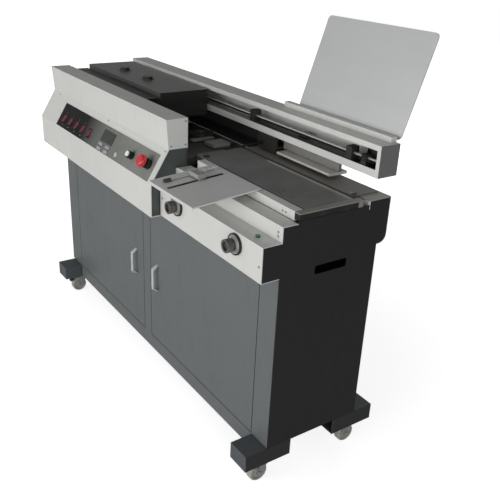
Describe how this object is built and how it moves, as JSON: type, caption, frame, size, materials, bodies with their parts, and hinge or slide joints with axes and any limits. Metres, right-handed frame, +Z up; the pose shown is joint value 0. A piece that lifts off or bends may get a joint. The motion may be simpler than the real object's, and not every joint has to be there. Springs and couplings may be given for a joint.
{
  "type": "perfect binding machine",
  "caption": "Floor-standing glue binder: cabinet with doors on castors, sloping control panel, guide beam with sliding book clamp, glue and milling stations, nipping table.",
  "frame": {"origin": "centre of the footprint of the whole machine, on the floor under the castor wheels", "axes": "+X along the machine to the right as its user faces it, +Y to the back, away from the user, +Z up"},
  "size_m": [1.45, 0.61, 1.2347],
  "materials": {
    "white_paint": "fine smooth powder coat",
    "grey_paint": "fine textured powder coat",
    "dark_paint": "satin powder coat",
    "green_grey_paint": "satin powder coat",
    "table_steel": "brushed and rubbed by paper",
    "bare_steel": "machined",
    "zinc_plate": "bright zinc plate",
    "chrome_rod": "hard chrome, ground",
    "polished_sheet": "brushed stainless sheet",
    "panel_film": "membrane film, dark at the left and grey at the right",
    "red_plastic": "moulded",
    "black_plastic": "fine texture",
    "white_plastic": "moulded",
    "grey_plastic": "moulded",
    "green_plastic": "moulded",
    "window_plastic": "tinted window",
    "grey_tread": "solid grey tread",
    "black_belt": "toothed belt"
  },
  "bodies": {
    "cabinet": {"feet": "grey_paint", "frame_rails": "grey_paint", "castor_plates": "zinc_plate", "floor_panel": "grey_paint", "frame_posts": "grey_paint", "left_end_panel": "dark_paint", "right_end_panel": "dark_paint", "back_panel": "grey_paint", "rear_cover": "white_paint", "front_fascia": "white_paint", "head_cover": "white_paint", "head_plates": "green_grey_paint", "control_panel": "panel_film", "panel_windows": "window_plastic", "button_barrels": "black_plastic", "knob_bushes": "zinc_plate", "cover_table": "table_steel", "nip_bars": "white_paint", "beam_housing": "white_paint", "guide_rod": "chrome_rod", "drive_belt": "black_belt", "sheet_support": "polished_sheet", "station_deck": "table_steel", "glue_tank": "bare_steel", "mains_inlet": "black_plastic"},
    "castor_fork_fl": {"castor_fork_fl": "zinc_plate"},
    "castor_wheel_fl": {"castor_wheel_fl": "grey_tread"},
    "castor_fork_fr": {"castor_fork_fr": "zinc_plate"},
    "castor_wheel_fr": {"castor_wheel_fr": "grey_tread"},
    "castor_fork_rl": {"castor_fork_rl": "zinc_plate"},
    "castor_wheel_rl": {"castor_wheel_rl": "grey_tread"},
    "castor_fork_rr": {"castor_fork_rr": "zinc_plate"},
    "castor_wheel_rr": {"castor_wheel_rr": "grey_tread"},
    "left_door": {"left_door": "grey_paint", "left_door_handle": "chrome_rod"},
    "right_door": {"right_door": "grey_paint", "right_door_handle": "chrome_rod"},
    "rocker_1": {"rocker_1": "red_plastic"},
    "rocker_2": {"rocker_2": "red_plastic"},
    "rocker_3": {"rocker_3": "red_plastic"},
    "rocker_4": {"rocker_4": "red_plastic"},
    "rocker_5": {"rocker_5": "red_plastic"},
    "key_1": {"key_1": "grey_plastic"},
    "key_2": {"key_2": "grey_plastic"},
    "key_3": {"key_3": "grey_plastic"},
    "key_4": {"key_4": "grey_plastic"},
    "start_button": {"start_button": "white_plastic"},
    "stop_button": {"stop_button": "red_plastic"},
    "ledge_button": {"ledge_button": "green_plastic"},
    "left_knob": {"left_knob": "bare_steel"},
    "cover_stop": {"cover_stop": "dark_paint"},
    "right_knob": {"right_knob": "bare_steel"},
    "nip_table": {"nip_table": "table_steel"},
    "carriage": {"carriage": "table_steel"},
    "clamp_jaw": {"clamp_jaw": "bare_steel"},
    "left_pulley": {"left_pulley": "black_plastic"},
    "right_pulley": {"right_pulley": "black_plastic"},
    "hood": {"hood": "dark_paint"},
    "glue_roller": {"glue_roller": "bare_steel"},
    "milling_cutter": {"milling_cutter": "bare_steel"}
  },
  "joints": [
    {"name": "castor_swivel_fl", "type": "hinge", "parent": "cabinet", "child": "castor_fork_fl", "pos_m": [-0.665, -0.14598, 0.067], "axis": [0, 0, 1], "continuous": true},
    {"name": "castor_roll_fl", "type": "hinge", "parent": "castor_fork_fl", "child": "castor_wheel_fl", "pos_m": [-0.665, -0.16598, 0.03], "axis": [1, 0, 0], "continuous": true},
    {"name": "castor_swivel_fr", "type": "hinge", "parent": "cabinet", "child": "castor_fork_fr", "pos_m": [0.6865, -0.14598, 0.067], "axis": [0, 0, 1], "continuous": true},
    {"name": "castor_roll_fr", "type": "hinge", "parent": "castor_fork_fr", "child": "castor_wheel_fr", "pos_m": [0.6865, -0.16598, 0.03], "axis": [1, 0, 0], "continuous": true},
    {"name": "castor_swivel_rl", "type": "hinge", "parent": "cabinet", "child": "castor_fork_rl", "pos_m": [-0.665, 0.14902, 0.067], "axis": [0, 0, 1], "continuous": true},
    {"name": "castor_roll_rl", "type": "hinge", "parent": "castor_fork_rl", "child": "castor_wheel_rl", "pos_m": [-0.665, 0.16902, 0.03], "axis": [1, 0, 0], "continuous": true},
    {"name": "castor_swivel_rr", "type": "hinge", "parent": "cabinet", "child": "castor_fork_rr", "pos_m": [0.6865, 0.14902, 0.067], "axis": [0, 0, 1], "continuous": true},
    {"name": "castor_roll_rr", "type": "hinge", "parent": "castor_fork_rr", "child": "castor_wheel_rr", "pos_m": [0.6865, 0.16902, 0.03], "axis": [1, 0, 0], "continuous": true},
    {"name": "left_door_hinge", "type": "hinge", "parent": "cabinet", "child": "left_door", "pos_m": [-0.612, -0.15548, 0.392], "axis": [0, 0, -1], "range_deg": [0, 110]},
    {"name": "right_door_hinge", "type": "hinge", "parent": "cabinet", "child": "right_door", "pos_m": [0.637, -0.15548, 0.392], "axis": [0, 0, 1], "range_deg": [0, 110]},
    {"name": "rocker_1_tilt", "type": "hinge", "parent": "cabinet", "child": "rocker_1", "pos_m": [-0.518, -0.23116, 0.79482], "axis": [1, 0, 0], "range_deg": [0, 17]},
    {"name": "rocker_2_tilt", "type": "hinge", "parent": "cabinet", "child": "rocker_2", "pos_m": [-0.461, -0.23116, 0.79482], "axis": [1, 0, 0], "range_deg": [0, 17]},
    {"name": "rocker_3_tilt", "type": "hinge", "parent": "cabinet", "child": "rocker_3", "pos_m": [-0.404, -0.23116, 0.79482], "axis": [1, 0, 0], "range_deg": [0, 17]},
    {"name": "rocker_4_tilt", "type": "hinge", "parent": "cabinet", "child": "rocker_4", "pos_m": [-0.347, -0.23116, 0.79482], "axis": [1, 0, 0], "range_deg": [0, 17]},
    {"name": "rocker_5_tilt", "type": "hinge", "parent": "cabinet", "child": "rocker_5", "pos_m": [-0.29, -0.23116, 0.79482], "axis": [1, 0, 0], "range_deg": [0, 17]},
    {"name": "key_1_press", "type": "slide", "parent": "cabinet", "child": "key_1", "axis": [0, 0.852, -0.5236], "range_m": [0, 0.0015], "stiffness_N_per_m": 400},
    {"name": "key_2_press", "type": "slide", "parent": "cabinet", "child": "key_2", "axis": [0, 0.852, -0.5236], "range_m": [0, 0.0015], "stiffness_N_per_m": 400},
    {"name": "key_3_press", "type": "slide", "parent": "cabinet", "child": "key_3", "axis": [0, 0.852, -0.5236], "range_m": [0, 0.0015], "stiffness_N_per_m": 400},
    {"name": "key_4_press", "type": "slide", "parent": "cabinet", "child": "key_4", "axis": [0, 0.852, -0.5236], "range_m": [0, 0.0015], "stiffness_N_per_m": 400},
    {"name": "start_press", "type": "slide", "parent": "cabinet", "child": "start_button", "axis": [0, 0.852, -0.5236], "range_m": [0, 0.0025], "stiffness_N_per_m": 600},
    {"name": "stop_press", "type": "slide", "parent": "cabinet", "child": "stop_button", "axis": [0, 0.852, -0.5236], "range_m": [0, 0.006], "stiffness_N_per_m": 900},
    {"name": "ledge_button_press", "type": "slide", "parent": "cabinet", "child": "ledge_button", "axis": [0, 0, -1], "range_m": [0, 0.004], "stiffness_N_per_m": 500},
    {"name": "left_knob_turn", "type": "hinge", "parent": "cabinet", "child": "left_knob", "pos_m": [0.309, -0.23848, 0.728], "axis": [0, 1, 0], "range_deg": [-1801, 601]},
    {"name": "cover_stop_slide", "type": "slide", "parent": "cabinet", "child": "cover_stop", "axis": [0, 1, 0], "range_m": [-0.005, 0.015]},
    {"name": "right_knob_turn", "type": "hinge", "parent": "cabinet", "child": "right_knob", "pos_m": [0.609, -0.23848, 0.728], "axis": [0, 1, 0], "range_deg": [-961, 1]},
    {"name": "nip_table_slide", "type": "slide", "parent": "cabinet", "child": "nip_table", "axis": [0, 1, 0], "range_m": [0, 0.008]},
    {"name": "carriage_slide", "type": "slide", "parent": "cabinet", "child": "carriage", "axis": [1, 0, 0], "range_m": [-0.78, 0]},
    {"name": "clamp_jaw_slide", "type": "slide", "parent": "carriage", "child": "clamp_jaw", "axis": [0, -1, 0], "range_m": [0, 0.016]},
    {"name": "left_pulley_turn", "type": "hinge", "parent": "cabinet", "child": "left_pulley", "pos_m": [-0.6805, 0.17952, 0.925], "axis": [0, 1, 0], "range_deg": [-2, 2265.8]},
    {"name": "right_pulley_turn", "type": "hinge", "parent": "cabinet", "child": "right_pulley", "pos_m": [0.682, 0.17952, 0.925], "axis": [0, 1, 0], "range_deg": [-2, 2265.8]},
    {"name": "hood_hinge", "type": "hinge", "parent": "cabinet", "child": "hood", "pos_m": [-0.415, 0.12692, 0.947], "axis": [-1, 0, 0], "range_deg": [0, 75]},
    {"name": "glue_roller_turn", "type": "hinge", "parent": "cabinet", "child": "glue_roller", "pos_m": [-0.365, 0.04652, 0.802], "axis": [0, 1, 0], "continuous": true},
    {"name": "milling_cutter_turn", "type": "hinge", "parent": "cabinet", "child": "milling_cutter", "pos_m": [-0.04, 0.06852, 0.818], "axis": [0, 0, 1], "continuous": true}
  ],
  "couplings": [
    {"joint": "left_knob_turn", "follows": "cover_stop_slide", "rad_per_m": -2094.4},
    {"joint": "right_knob_turn", "follows": "nip_table_slide", "rad_per_m": -2094.4},
    {"joint": "left_pulley_turn", "follows": "carriage_slide", "rad_per_m": -50.633},
    {"joint": "right_pulley_turn", "follows": "carriage_slide", "rad_per_m": -50.633}
  ]
}
